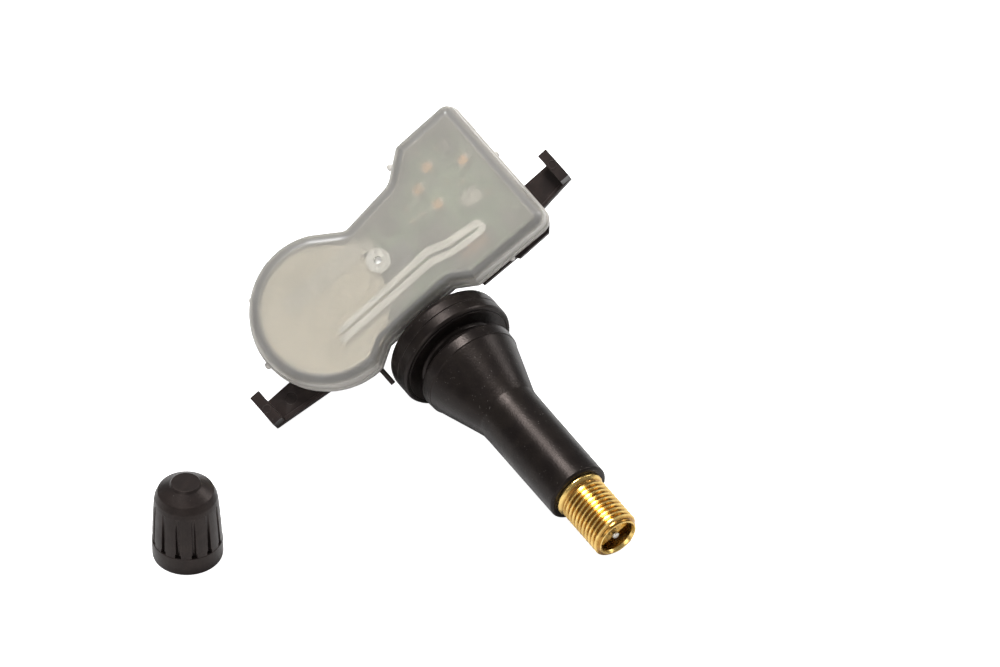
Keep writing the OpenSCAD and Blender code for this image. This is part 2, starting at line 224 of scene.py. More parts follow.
def inset_corners(corners: Sequence[Corner], distance: float) -> list[Corner]:
    """Moves a counter-clockwise outline inwards and changes the radii of its corners to suit.

    Args:
        corners: The outline.
        distance: How far in it goes.

    Returns:
        As many corners, in the same order.
    """
    moved: list[Corner] = []
    for i, (x, y, radius) in enumerate(corners):
        here = Vector((x, y))
        arriving = (here - Vector(corners[i - 1][:2])).normalized()
        leaving = (Vector(corners[(i + 1) % len(corners)][:2]) - here).normalized()
        inward = Vector((-arriving.y, arriving.x)) + Vector((-leaving.y, leaving.x))
        shift = inward * distance / (1 + arriving.dot(leaving))
        side = math.copysign(1, arriving.cross(leaving))
        moved.append((x + shift.x, y + shift.y, max(0.05, radius - side * distance) if radius else 0))
    return moved


def stack(corners: Sequence[Corner], levels: Sequence[Point], steps: int = 6) -> BMesh:
    """A closed mesh through insets of one outline, each at its own level.

    Args:
        corners: Counter-clockwise outline.
        levels: Pairs of inset and level; the first and the last are capped.
        steps: Chords in each corner.

    Returns:
        The mesh.
    """
    bm = bmesh.new()
    verts: list[bmesh.types.BMVert] = []
    ring: list[bmesh.types.BMEdge] = []
    for distance, level in levels:
        points = rounded(inset_corners(corners, distance), steps)
        if not verts:
            verts = [bm.verts.new((x, y, level)) for x, y in points]
            ring = [bm.edges.new((verts[i - 1], verts[i])) for i in range(len(verts))]
            bmesh.ops.contextual_create(bm, geom=ring)
            continue
        grown = bmesh.ops.extrude_edge_only(bm, edges=ring)["geom"]
        fresh = {tuple(v.co): v for v in grown if isinstance(v, bmesh.types.BMVert)}
        verts = [fresh[tuple(v.co)] for v in verts]
        ring = [e for e in grown if isinstance(e, bmesh.types.BMEdge) and all(v in verts for v in e.verts)]
        for vert, (x, y) in zip(verts, points):
            vert.co = (x, y, level)
    bmesh.ops.contextual_create(bm, geom=ring)
    return outward(bm)


def carve(bm: BMesh, cutters: Sequence[BMesh]) -> BMesh:
    """Takes closed meshes out of a closed mesh.

    Args:
        bm: The mesh that is cut, which is freed.
        cutters: What is taken out, which is freed too.

    Returns:
        The cut mesh.
    """
    helpers = []
    for i, source in enumerate((bm, *cutters)):
        mesh = bpy.data.meshes.new(f"carve_{i}")
        outward(source).to_mesh(mesh)
        source.free()
        for _ in range(CARVE_SLOTS):
            mesh.materials.append(None)
        helpers.append(bpy.data.objects.new(mesh.name, mesh))
        bpy.context.scene.collection.objects.link(helpers[-1])
    for tool in helpers[1:]:
        modifier = helpers[0].modifiers.new(tool.name, "BOOLEAN")
        modifier.operation = "DIFFERENCE"
        modifier.solver = "EXACT"
        modifier.object = tool
    bpy.context.view_layer.update()
    graph = bpy.context.evaluated_depsgraph_get()
    result = bmesh.new()
    result.from_object(helpers[0], graph)
    for helper in helpers:
        mesh = helper.data
        bpy.data.objects.remove(helper)
        bpy.data.meshes.remove(mesh)
    return result


def box_mesh(size: Sequence[float], middle: Sequence[float]) -> BMesh:
    """A box from its size and its middle.

    Args:
        size: Lengths along x, y and z.
        middle: Its middle.

    Returns:
        The mesh.
    """
    bm = bmesh.new()
    bmesh.ops.create_cube(bm, size=1)
    bmesh.ops.scale(bm, vec=size, verts=bm.verts)
    bmesh.ops.translate(bm, vec=middle, verts=bm.verts)
    return bm


def soften(bm: BMesh, width: float, segments: int = 2) -> BMesh:
    """Bevels the sharp edges of a closed mesh.

    Args:
        bm: The mesh.
        width: Width of the bevel.
        segments: Its segments.

    Returns:
        The same mesh.
    """
    bm.normal_update()
    limit = math.radians(BEVEL_ANGLE)
    sharp = [e for e in bm.edges if e.is_manifold and e.calc_face_angle(0) > limit]
    bmesh.ops.bevel(bm, geom=sharp, offset=width, offset_type="OFFSET", segments=segments,
                    profile=0.5, affect="EDGES", clamp_overlap=True, material=-1)
    return bm


def lathe(corners: Sequence[Corner], closed: bool = False, steps: int = 96, arc_steps: int = 4) -> BMesh:
    """Spins a profile of (radius, height, corner radius) round the local z.

    Args:
        corners: The profile; an open one begins and ends on the axis.
        closed: Whether the profile is a closed loop.
        steps: Steps round the axis.
        arc_steps: Chords in each softened corner.

    Returns:
        A closed mesh with its normals outward.
    """
    bm = bmesh.new()
    verts = [bm.verts.new((r, 0, z)) for r, z in rounded(corners, arc_steps, closed)]
    edges = [bm.edges.new(pair) for pair in zip(verts, verts[1:])]
    if closed:
        edges.append(bm.edges.new((verts[-1], verts[0])))
    bmesh.ops.spin(bm, geom=verts + edges, cent=(0, 0, 0), axis=(0, 0, 1), dvec=(0, 0, 0), angle=math.tau,
                   steps=steps, use_merge=True, use_normal_flip=False, use_duplicate=False)
    return tidy(bm)


def helix(profile: Sequence[Point], low: float, pitch: float, turns: float, per_turn: int = 48) -> BMesh:
    """Spins a closed profile along a helix round the local z and caps both ends.

    Args:
        profile: Points of (radius, height) round the section.
        low: Height of the section's middle at the start.
        pitch: Rise in one turn.
        turns: Number of turns.
        per_turn: Steps in one turn.

    Returns:
        A closed mesh.
    """
    bm = bmesh.new()
    verts = [bm.verts.new((r, 0, low + z)) for r, z in profile]
    edges = [bm.edges.new((verts[i - 1], verts[i])) for i in range(len(verts))]
    bmesh.ops.spin(bm, geom=verts + edges, cent=(0, 0, 0), axis=(0, 0, 1), dvec=(0, 0, pitch / per_turn),
                   angle=math.tau * turns, steps=round(turns * per_turn), use_merge=False,
                   use_normal_flip=False, use_duplicate=False)
    bmesh.ops.holes_fill(bm, edges=[e for e in bm.edges if e.is_boundary], sides=0)
    return outward(bm)


def tidy(bm: BMesh) -> BMesh:
    """Merges doubles, closes poles and turns the normals outward.

    Args:
        bm: The mesh.

    Returns:
        The same mesh.
    """
    bmesh.ops.remove_doubles(bm, verts=bm.verts, dist=MERGE)
    bmesh.ops.dissolve_degenerate(bm, dist=MERGE / 2, edges=bm.edges)
    return outward(bm)


def add(bm: BMesh, other: BMesh, matrix: Optional[Matrix] = None) -> BMesh:
    """Adds another mesh's geometry to a mesh.

    Args:
        bm: The mesh that grows.
        other: The mesh to add, which is freed.
        matrix: Where it goes.

    Returns:
        The first mesh.
    """
    if matrix is not None:
        bmesh.ops.transform(other, matrix=matrix, verts=other.verts)
    scratch = bpy.data.meshes.new("scratch")
    other.to_mesh(scratch)
    other.free()
    bm.from_mesh(scratch)
    bpy.data.meshes.remove(scratch)
    return bm


def rounding(inset: float, level: float, radius: float, rise: float, steps: int) -> list[Point]:
    """Levels that round a wall over into a face."""
    angles = [math.pi / 2 * i / steps for i in range(1, steps + 1)]
    return [(inset + radius * (1 - math.cos(a)), level + rise * math.sin(a)) for a in angles]


def cad_copy(node: str, width: float = 0.05, segments: int = 2) -> BMesh:
    """A copy of a CAD node in table millimetres, with clean faces and softened edges.

    Args:
        node: Name of the CAD node.
        width: Width of the softened edges.
        segments: Segments across them.

    Returns:
        The mesh.
    """
    flat = math.radians(1)
    bm = bmesh.new()
    bm.from_mesh(frame["nodes"][node].data)
    bmesh.ops.scale(bm, vec=(1 / MM,) * 3, verts=bm.verts)
    bmesh.ops.remove_doubles(bm, verts=bm.verts, dist=0.002)
    bmesh.ops.dissolve_limit(bm, angle_limit=flat, use_dissolve_boundaries=False, verts=bm.verts,
                             edges=bm.edges)
    bmesh.ops.dissolve_degenerate(bm, dist=0.01, edges=bm.edges)
    if width > 0:
        soften(bm, width, segments)
    bmesh.ops.triangulate(bm, faces=[f for f in bm.faces if len(f.verts) > 4])
    return bm


def shown(bm: BMesh, name: str, place: Matrix, materials: Sequence[bpy.types.Material], slot: str, body: Body,
          replaces: Sequence[str] = (), sharp: float = 38, weighted: bool = True) -> bpy.types.Object:
    """Makes a finished piece of a mesh and fixes it to its CAD body.

    Args:
        bm: Mesh in local millimetres, which is freed.
        name: Name of the piece.
        place: Matrix from its local frame to the table.
        materials: Its material for each material index.
        slot: The record's slot; not used.
        body: The body it rides on.
        replaces: CAD nodes that it stands for.
        sharp: Edges that turn by more degrees than this are shaded sharp.
        weighted: Whether large faces set the normals at their corners.

    Returns:
        The new object.
    """
    bmesh.ops.transform(bm, matrix=place, verts=bm.verts)
    mesh = bpy.data.meshes.new(name)
    bm.to_mesh(mesh)
    bm.free()
    mesh.polygons.foreach_set("use_smooth", [True] * len(mesh.polygons))
    mesh.set_sharp_from_angle(angle=math.radians(sharp))
    for material in materials:
        mesh.materials.append(material)
    piece = bpy.data.objects.new(name, mesh)
    bpy.context.scene.collection.objects.link(piece)
    if weighted:
        modifier = piece.modifiers.new("weighted", "WEIGHTED_NORMAL")
        modifier.keep_sharp = True
    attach(piece, body.value)
    if replaces:
        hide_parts(*replaces)
    log.info("%s: %d faces on %s", name, len(mesh.polygons), body.value)
    return piece


# ---------------------------------------------------------------- node trees


class Graph:
    """A node tree with short calls that add and join its nodes.

    Args:
        tree: The node tree to write in.
    """

    def __init__(self, tree: bpy.types.NodeTree) -> None:
        self.tree = tree

    def node(self, kind: str, inputs: Optional[dict] = None, **settings: object) -> bpy.types.Node:
        """Adds a node.

        Args:
            kind: Its type, without the leading ShaderNode.
            inputs: Sockets by name or number, each with a value or a socket to join.
            settings: Properties of the node.

        Returns:
            The node.
        """
        made = self.tree.nodes.new("ShaderNode" + kind)
        for key, value in settings.items():
            setattr(made, key, value)
        for key, value in (inputs or {}).items():
            self.feed(made.inputs[key], value)
        return made

    def feed(self, socket: bpy.types.NodeSocket, value: Value) -> None:
        """Sets a socket, or joins another socket to it.

        Args:
            socket: The socket to feed.
            value: A number, a colour, a vector or a socket.
        """
        if isinstance(value, bpy.types.NodeSocket):
            self.tree.links.new(value, socket)
        elif socket.type == "RGBA" and len(value) == 3:
            socket.default_value = (*value, 1)
        else:
            socket.default_value = value

    def math(self, operation: str, a: Value, b: Value = 0.0, clamp: bool = False) -> bpy.types.NodeSocket:
        """A Math node's result."""
        return self.node("Math", {0: a, 1: b}, operation=operation, use_clamp=clamp).outputs[0]

    def span(self, value: Value, low: float, high: float, to_low: float = 0, to_high: float = 1
             ) -> bpy.types.NodeSocket:
        """Maps a range to another, smoothly and clamped."""
        inputs = {"Value": value, 1: low, 2: high, 3: to_low, 4: to_high}
        return self.node("MapRange", inputs, interpolation_type="SMOOTHSTEP").outputs[0]

    def blend(self, factor: Value, a: Value, b: Value) -> bpy.types.NodeSocket:
        """Mixes two colours; the factor is the share of the second."""
        return self.node("Mix", {0: factor, 6: a, 7: b}, data_type="RGBA").outputs[2]

    def noise(self, vector: Value, scale: float) -> bpy.types.NodeSocket:
        """A Noise Texture's value."""
        inputs = {"Vector": vector, "Scale": scale, "Detail": 3.0, "Roughness": 0.55}
        return self.node("TexNoise", inputs).outputs["Fac"]


class Shared(str, Enum):
    """The node groups that several finishes share."""

    GRAIN = "moulded_grain"
    WEAR = "edge_wear"
    DUST = "dust_specks"
    TURNING = "turning_marks"
    CLOUD = "soft_mottle"


def group(kind: Shared, inputs: Sequence[tuple[str, str, Value]], outputs: Sequence[str],
          build: Callable[[Graph, bpy.types.Node], dict[str, bpy.types.NodeSocket]]) -> None:
    """Makes one shared node group.

    Args:
        kind: Which group it is.
        inputs: Name, socket type and default value of each input.
        outputs: Name of each output, all of them values.
        build: Adds the nodes and returns the socket for each output.
    """
    tree = bpy.data.node_groups.new(kind.value, "ShaderNodeTree")
    for name, socket_type, default in inputs:
        made = tree.interface.new_socket(name, in_out="INPUT", socket_type=socket_type)
        if socket_type == "NodeSocketFloat":
            made.default_value = default
    for name in outputs:
        tree.interface.new_socket(name, in_out="OUTPUT", socket_type="NodeSocketFloat")
    graph = Graph(tree)
    results = build(graph, tree.nodes.new("NodeGroupInput"))
    end = tree.nodes.new("NodeGroupOutput")
    for name, socket in results.items():
        tree.links.new(socket, end.inputs[name])


def grain_nodes(graph: Graph, given: bpy.types.Node) -> dict[str, bpy.types.NodeSocket]:
    """Fine grain of a moulded or cast surface, as a height and as a tone."""
    vector, scale = given.outputs["Vector"], given.outputs["Scale"]
    fine = graph.node("TexNoise", {"Vector": vector, "Scale": scale, "Detail": 4.0}).outputs["Fac"]
    spacing = graph.math("MULTIPLY", scale, 0.6)
    cells = graph.node("TexVoronoi", {"Vector": vector, "Scale": spacing}).outputs["Distance"]
    height = graph.math("ADD", fine, graph.math("MULTIPLY", cells, 0.5))
    wide = graph.math("MULTIPLY", scale, 0.07)
    broad = graph.node("TexNoise", {"Vector": vector, "Scale": wide}).outputs["Fac"]
    return {"Height": height, "Tone": graph.span(broad, 0.3, 0.7)}


def wear_nodes(graph: Graph, given: bpy.types.Node) -> dict[str, bpy.types.NodeSocket]:
    """Mask of worn outer edges, broken up by noise."""
    softened = graph.node("Bevel", {"Radius": given.outputs["Width"]}, samples=4).outputs[0]
    true = graph.node("NewGeometry").outputs["True Normal"]
    same = graph.node("VectorMath", {0: softened, 1: true}, operation="DOT_PRODUCT").outputs["Value"]
    turned = graph.span(same, 0.995, 0.86)
    broken = graph.span(graph.noise(given.outputs["Vector"], 2.3), 0.35, 0.65, 0.25, 1)
    mask = graph.math("MULTIPLY", graph.math("MULTIPLY", turned, broken), given.outputs["Amount"], clamp=True)
    return {"Mask": mask}


def dust_nodes(graph: Graph, given: bpy.types.Node) -> dict[str, bpy.types.NodeSocket]:
    """Mask of small separate specks."""
    spots = graph.node("TexVoronoi", {"Vector": given.outputs["Vector"], "Scale": given.outputs["Scale"]})
    near = graph.span(spots.outputs["Distance"], 0.2, 0.08)
    chosen = graph.math("LESS_THAN", spots.outputs["Color"], given.outputs["Share"])
    patchy = graph.span(graph.noise(given.outputs["Vector"], 0.35), 0.42, 0.62)
    return {"Mask": graph.math("MULTIPLY", graph.math("MULTIPLY", near, chosen), patchy, clamp=True)}


def turning_nodes(graph: Graph, given: bpy.types.Node) -> dict[str, bpy.types.NodeSocket]:
    """Fine rings that a tool leaves along the local z, as a height and as a tone."""
    vector, scale = given.outputs["Vector"], given.outputs["Scale"]
    stretched = graph.node("Mapping", {"Vector": vector, "Scale": (0.15, 0.15, 1)}).outputs[0]
    fine = graph.node("TexNoise", {"Vector": stretched, "Scale": scale, "Detail": 2.0}).outputs["Fac"]
    return {"Height": fine, "Tone": graph.span(fine, 0.35, 0.65)}


def cloud_nodes(graph: Graph, given: bpy.types.Node) -> dict[str, bpy.types.NodeSocket]:
    """Large soft mottling."""
    broad = graph.node("TexNoise", {"Vector": given.outputs["Vector"], "Scale": given.outputs["Scale"],
                                    "Detail": 2.0, "Distortion": 0.6}).outputs["Fac"]
    return {"Mask": graph.span(broad, 0.36, 0.66)}


def make_groups() -> None:
    """Makes every shared node group."""
    vector = ("Vector", "NodeSocketVector", None)
    number = "NodeSocketFloat"
    group(Shared.GRAIN, [vector, ("Scale", number, 8.0)], ["Height", "Tone"], grain_nodes)
    group(Shared.WEAR, [vector, ("Width", number, 0.0002), ("Amount", number, 1.0)], ["Mask"], wear_nodes)
    group(Shared.DUST, [vector, ("Scale", number, 2.0), ("Share", number, 0.4)], ["Mask"], dust_nodes)
    group(Shared.TURNING, [vector, ("Scale", number, 6.0)], ["Height", "Tone"], turning_nodes)
    group(Shared.CLOUD, [vector, ("Scale", number, 0.2)], ["Mask"], cloud_nodes)


class Shader(Graph):
    """One material with a Principled shader, read in a local frame in millimetres.

    Args:
        name: Name of the material.
        place: Matrix of the local frame.
        plain: Values of the shader's own sockets.
    """

    def __init__(self, name: str, place: Matrix, plain: dict[str, Value]) -> None:
        self.material = bpy.data.materials.new(name)
        self.material.use_nodes = True
        super().__init__(self.material.node_tree)
        self.tree.nodes.clear()
        self.surface = self.node("BsdfPrincipled", plain)
        output = self.node("OutputMaterial")
        self.tree.links.new(self.surface.outputs[0], output.inputs[0])
        turn = place.to_3x3().normalized().transposed()
        mapping = {"Vector": self.node("TexCoord").outputs["Object"],
                   "Location": -(turn @ place.translation) / MM,
                   "Rotation": turn.to_euler(), "Scale": (1 / MM,) * 3}
        self.here = self.node("Mapping", mapping).outputs[0]

    def shared(self, kind: Shared, inputs: Optional[dict] = None) -> bpy.types.Node:
        """Places a shared group in this material.

        Args:
            kind: Which group.
            inputs: Values of its sockets.

        Returns:
            The group's node.
        """
        made = self.tree.nodes.new("ShaderNodeGroup")
        made.node_tree = bpy.data.node_groups[kind.value]
        self.feed(made.inputs["Vector"], self.here)
        for key, value in (inputs or {}).items():
            self.feed(made.inputs[key], value)
        return made

    def paint(self, **sockets: Value) -> None:
        """Joins results to the shader, with underscores for spaces in the sockets' names."""
        for name, value in sockets.items():
            self.feed(self.surface.inputs[name.replace("_", " ")], value)

    def bump(self, height: Value, strength: float, depth: float) -> None:
        """Joins a height to the shader's normal."""
        inputs = {"Height": height, "Strength": strength, "Distance": depth * MM}
        self.feed(self.surface.inputs["Normal"], self.node("Bump", inputs).outputs[0])


# ---------------------------------------------------------------- finishes


@dataclass(frozen=True)
class MilkyPlastic:
    """See-through milky moulding.

    Args:
        name: Name of the material.
        tint: Its colour.
        deep: Colour of its thicker stretches.
        clear: Share of the light that goes through.
        roughness: How much it blurs.
    """

    name: str
    tint: Colour = (0.91, 0.875, 0.80)
    deep: Colour = (0.85, 0.82, 0.75)
    clear: float = 0.8
    roughness: float = 0.29

    def material(self, place: Matrix) -> bpy.types.Material:
        """Builds the material in a local frame."""
        shader = Shader(self.name, place, {"Transmission Weight": self.clear, "IOR": 1.46, "Metallic": 0.0,
                                           "Specular IOR Level": 0.5})
        cloud = shader.shared(Shared.CLOUD, {"Scale": 0.11}).outputs["Mask"]
        grain = shader.shared(Shared.GRAIN, {"Scale": 7.0})
        dust = shader.shared(Shared.DUST, {"Scale": 1.6, "Share": 0.25}).outputs["Mask"]
        colour = shader.blend(shader.math("MULTIPLY", cloud, 0.6), self.tint, self.deep)
        colour = shader.blend(shader.math("MULTIPLY", dust, 0.35), colour, (0.93, 0.92, 0.88))
        rough = shader.span(grain.outputs["Tone"], 0, 1, self.roughness, self.roughness + 0.02)
        shader.paint(Base_Color=colour, Roughness=rough)
        shader.bump(grain.outputs["Height"], 0.2, 0.01)
        return shader.material


@dataclass(frozen=True)
class Moulded:
    """Grained moulded plastic or rubber, paler where its edges are worn.

    Args:
        name: Name of the material.
        colour: Its colour.
        other: Colour that it drifts to.
        worn: Colour of its worn edges.
        roughness: Its roughness.
        grain: Scale of the grain, per millimetre.
        depth: Depth of the grain in millimetres.
        specks: Share of the cells that hold a speck of dust.
        wear: Amount of edge wear.
        gloss: Strength of its mirror-like share.
        sheen: Colour of its mirror-like share.
    """

    name: str
    colour: Colour
    other: Colour
    worn: Colour = (0.10, 0.09, 0.085)
    roughness: float = 0.45
    grain: float = 7.0
    depth: float = 0.02
    specks: float = 0.15
    wear: float = 0.7
    gloss: float = 0.4
    sheen: Colour = (1.0, 1.0, 1.0)

    def material(self, place: Matrix) -> bpy.types.Material:
        """Builds the material in a local frame."""
        shader = Shader(self.name, place, {"Metallic": 0.0, "Specular IOR Level": self.gloss,
                                           "Specular Tint": self.sheen})
        grain = shader.shared(Shared.GRAIN, {"Scale": self.grain})
        cloud = shader.shared(Shared.CLOUD, {"Scale": 0.3}).outputs["Mask"]
        worn = shader.shared(Shared.WEAR, {"Width": 0.00018, "Amount": self.wear}).outputs["Mask"]
        dust = shader.shared(Shared.DUST, {"Scale": 2.6, "Share": self.specks}).outputs["Mask"]
        colour = shader.blend(cloud, self.colour, self.other)
        colour = shader.blend(shader.math("MULTIPLY", worn, 0.6), colour, self.worn)
        colour = shader.blend(shader.math("MULTIPLY", dust, 0.35), colour, (0.30, 0.28, 0.26))
        rough = shader.span(grain.outputs["Tone"], 0, 1, self.roughness - 0.025, self.roughness + 0.03)
        rough = shader.math("ADD", rough, shader.math("MULTIPLY", dust, 0.15), clamp=True)
        shader.paint(Base_Color=colour, Roughness=rough)
        shader.bump(grain.outputs["Height"], 0.5, self.depth)
        return shader.material


@dataclass(frozen=True)
class Metal:
    """Turned, drawn or stamped metal, darker where it is tarnished, with painted shade in its thread grooves
    when a groove radius is given.

    Args:
        name: Name of the material.
        colour: Its colour.
        tarnish_and_shade: Colour of its dull patches, and of the painted shade in its grooves.
        roughness: Its roughness.
        rings: Scale of the tool's marks, per millimetre.
        depth: Depth of the marks in millimetres.
        dull: How strong the dull patches are.
        groove: Radius in the local frame below which painted shade darkens the thread's grooves, or 0.
    """

    name: str
    colour: Colour
    tarnish_and_shade: Colour
    roughness: float = 0.22
    rings: float = 9.0
    depth: float = 0.004
    dull: float = 0.5
    groove: float = 0.0

    def material(self, place: Matrix) -> bpy.types.Material:
        """Builds the material in a local frame."""
        shader = Shader(self.name, place, {"Metallic": 1.0})
        marks = shader.shared(Shared.TURNING, {"Scale": self.rings})
        cloud = shader.shared(Shared.CLOUD, {"Scale": 0.55}).outputs["Mask"]
        worn = shader.shared(Shared.WEAR, {"Width": 0.0001, "Amount": 0.8}).outputs["Mask"]
        colour = shader.blend(shader.math("MULTIPLY", cloud, self.dull), self.colour, self.tarnish_and_shade)
        # Painted shade: darkens the thread's roots towards the tarnish colour.
        if self.groove:
            parts = shader.node("SeparateXYZ", {0: shader.here}).outputs
            squares = [shader.math("MULTIPLY", parts[i], parts[i]) for i in (0, 1)]
            radius = shader.math("SQRT", shader.math("ADD", *squares))
            deep = shader.span(radius, self.groove + 0.4, self.groove + 0.04)
            outer = shader.math("GREATER_THAN", radius, self.groove - 0.16)
            deep = shader.math("MULTIPLY", deep, outer)
            colour = shader.blend(shader.math("MULTIPLY", deep, 0.92), colour, self.tarnish_and_shade)
        pale = tuple(min(1.0, c * 1.15 + 0.03) for c in self.colour)
        colour = shader.blend(shader.math("MULTIPLY", worn, 0.5), colour, pale)
        rough = shader.span(marks.outputs["Tone"], 0, 1, self.roughness - 0.05, self.roughness + 0.07)
        rough = shader.math("ADD", rough, shader.math("MULTIPLY", cloud, 0.1), clamp=True)
        shader.paint(Base_Color=colour, Roughness=rough)
        shader.bump(marks.outputs["Height"], 0.4, self.depth)
        return shader.material


@dataclass(frozen=True)
class SolderMask:
    """Green solder mask over raised copper tracks.

    Args:
        name: Name of the material.
        colour: Colour of the mask.
        track: Colour over copper.
    """

    name: str
    colour: Colour = (0.10, 0.20, 0.12)
    track: Colour = (0.17, 0.30, 0.17)

    def material(self, place: Matrix) -> bpy.types.Material:
        """Builds the material in a local frame."""
        shader = Shader(self.name, place, {"Metallic": 0.0, "Coat Weight": 0.3, "Coat Roughness": 0.15})
        bricks = {"Vector": shader.here, "Color1": (1, 1, 1), "Color2": (1, 1, 1), "Mortar": (0, 0, 0),
                  "Scale": 0.9, "Mortar Size": 0.03, "Brick Width": 2.3, "Row Height": 0.7}
        lines = shader.node("TexBrick", bricks).outputs["Fac"]
        cloud = shader.shared(Shared.CLOUD, {"Scale": 0.4}).outputs["Mask"]
        colour = shader.blend(lines, shader.blend(cloud, self.colour, self.track), self.track)
        shader.paint(Base_Color=colour, Roughness=shader.span(cloud, 0, 1, 0.3, 0.42))
        shader.bump(lines, 0.6, 0.03)
        return shader.material


@dataclass
class Finishes:
    """Every material of the object, in its own local frame.

    Args:
        places: The local frames.
        made: The materials by name.
    """

    places: Places
    made: dict[str, bpy.types.Material] = field(default_factory=dict)

    def build(self) -> "Finishes":
        """Builds all materials.

        Returns:
            This object.
        """
        black, brown, warm = (0.010, 0.0075, 0.0075), (0.017, 0.012, 0.011), (1.0, 0.84, 0.78)
        brass, bronze = (0.80, 0.57, 0.20), (0.34, 0.16, 0.03)
        steel, grey = (0.72, 0.71, 0.68), (0.40, 0.38, 0.35)
        on_sensor = [
            MilkyPlastic("milky_cover"),
            MilkyPlastic("milky_wall", (0.72, 0.69, 0.64), (0.66, 0.63, 0.59), clear=0.42, roughness=0.38),
            # Painted shade: a dark, nearly opaque copy of the cover's plastic for its inner faces under the
            # ceiling.
            MilkyPlastic("milky_shade", (0.03, 0.035, 0.055), (0.02, 0.025, 0.045), clear=0.05, roughness=0.4),
            MilkyPlastic("milky_bead", (0.93, 0.92, 0.87), (0.88, 0.87, 0.82), clear=0.12, roughness=0.4),
            Moulded("carrier_black", black, brown, roughness=0.42, grain=9.0, gloss=0.24, sheen=warm),
            SolderMask("solder_mask"),
            Metal("nickel_can", (0.74, 0.70, 0.62), (0.66, 0.61, 0.52), roughness=0.4, rings=4.0, dull=0.3),
            Metal("nickel_strip", steel, (0.6, 0.58, 0.54), roughness=0.32, dull=0.3),
            Metal("tinned_end", (0.78, 0.77, 0.74), grey, roughness=0.35),
            Metal("lid_steel", (0.76, 0.76, 0.74), grey, roughness=0.28),
            Metal("copper_wire", (0.78, 0.40, 0.17), (0.45, 0.17, 0.06), roughness=0.3),
            Moulded("chip_epoxy", (0.045, 0.045, 0.05), (0.06, 0.06, 0.065), roughness=0.5, grain=12.0,
                    wear=0.4),
            Moulded("sensor_epoxy", (0.10, 0.11, 0.14), (0.13, 0.14, 0.17), roughness=0.5, grain=12.0,
                    wear=0.4),
            Moulded("tantalum_body", (0.80, 0.42, 0.13), (0.72, 0.34, 0.10), (0.9, 0.6, 0.3), roughness=0.4),
            Moulded("fired_ceramic", (0.45, 0.31, 0.19), (0.52, 0.38, 0.25), (0.6, 0.5, 0.4), roughness=0.5),
            Moulded("resistor_film", (0.05, 0.05, 0.06), (0.08, 0.08, 0.09), roughness=0.4),
            Moulded("ferrite", (0.07, 0.065, 0.062), (0.11, 0.10, 0.095), roughness=0.6, grain=14.0),
            Moulded("membrane", (0.84, 0.84, 0.82), (0.78, 0.78, 0.75), (0.9, 0.9, 0.9), roughness=0.85,
                    grain=16.0, depth=0.03),
        ]
        on_valve = [
            Moulded("valve_rubber", (0.0055, 0.0042, 0.0040), (0.009, 0.007, 0.006), (0.04, 0.035, 0.03),
                    roughness=0.32, grain=5.0, depth=0.03, specks=0.5, gloss=0.2, sheen=warm),
            # groove=3.38 puts painted shade into the stem's thread roots.
            Metal("valve_brass", brass, bronze, roughness=0.2, groove=3.38, dull=0.3),
            Metal("core_brass", (0.74, 0.50, 0.16), (0.40, 0.22, 0.06), roughness=0.26),
            Metal("pin_steel", (0.62, 0.60, 0.56), grey, roughness=0.28),
            Metal("spring_steel", steel, grey, roughness=0.25),
            Metal("zinc_steel", (0.74, 0.75, 0.76), grey, roughness=0.3),
            Moulded("gasket_red", (0.36, 0.04, 0.03), (0.28, 0.03, 0.025), (0.5, 0.1, 0.08), roughness=0.5),
            Moulded("seal_rubber", (0.035, 0.035, 0.035), (0.05, 0.05, 0.05), roughness=0.6),
        ]
        on_cap = [
            Moulded("cap_nylon", (0.010, 0.0078, 0.0075), (0.016, 0.012, 0.011), (0.07, 0.055, 0.05),
                    roughness=0.36, grain=6.0, depth=0.03, specks=0.2, gloss=0.24, sheen=warm),
            Moulded("cap_rubber", (0.05, 0.05, 0.05), (0.08, 0.08, 0.08), roughness=0.6),
        ]
        places = self.places
        for finishes, place in ((on_sensor, places.sensor), (on_valve, places.valve), (on_cap, places.cap)):
            for finish in finishes:
                self.made[finish.name] = finish.material(place)
        return self

    def __getitem__(self, name: str) -> bpy.types.Material:
        """The material of that name."""
        return self.made[name]


# ---------------------------------------------------------------- sub-assemblies


@dataclass
class Assembly:
    """Pieces that are built together in one local frame.

    Args:
        places: The local frames.
        finishes: The materials.
    """

    places: Places
    finishes: Finishes
    home: ClassVar[str] = "sensor"
    body: ClassVar[Body] = Body.SENSOR

    def piece(self, bm: BMesh, name: str, finishes: Union[str, Sequence[str]], slot: str, node: str = "",
              place: Optional[Matrix] = None, body: Optional[Body] = None, **shading: float
              ) -> bpy.types.Object:
        """Shows a mesh as a piece of this assembly.

        Args:
            bm: Its mesh.
            name: Its name.
            finishes: Name of its finish, or one for each material index.
            slot: The record's slot.
            node: The CAD node that it stands for, if any.
            place: Its frame, where it isn't the assembly's own.
            body: Its body, where it isn't the assembly's own.
            shading: How shown() shades it.

        Returns:
            The piece.
        """
        names = (finishes,) if isinstance(finishes, str) else finishes
        materials = [self.finishes[one] for one in names]
        return shown(bm, name, place or getattr(self.places, self.home), materials, slot, body or self.body,
                     (node,) if node else (), **shading)

    def dressed(self, node: str, finish: str, slot: str, width: float, name: str = "", segments: int = 2,
                body: Optional[Body] = None) -> None:
        """Shows a softened copy of a CAD node."""
        self.piece(cad_copy(node, width, segments), name or node + "_piece", finish, slot, node,
                   self.places.table, body)


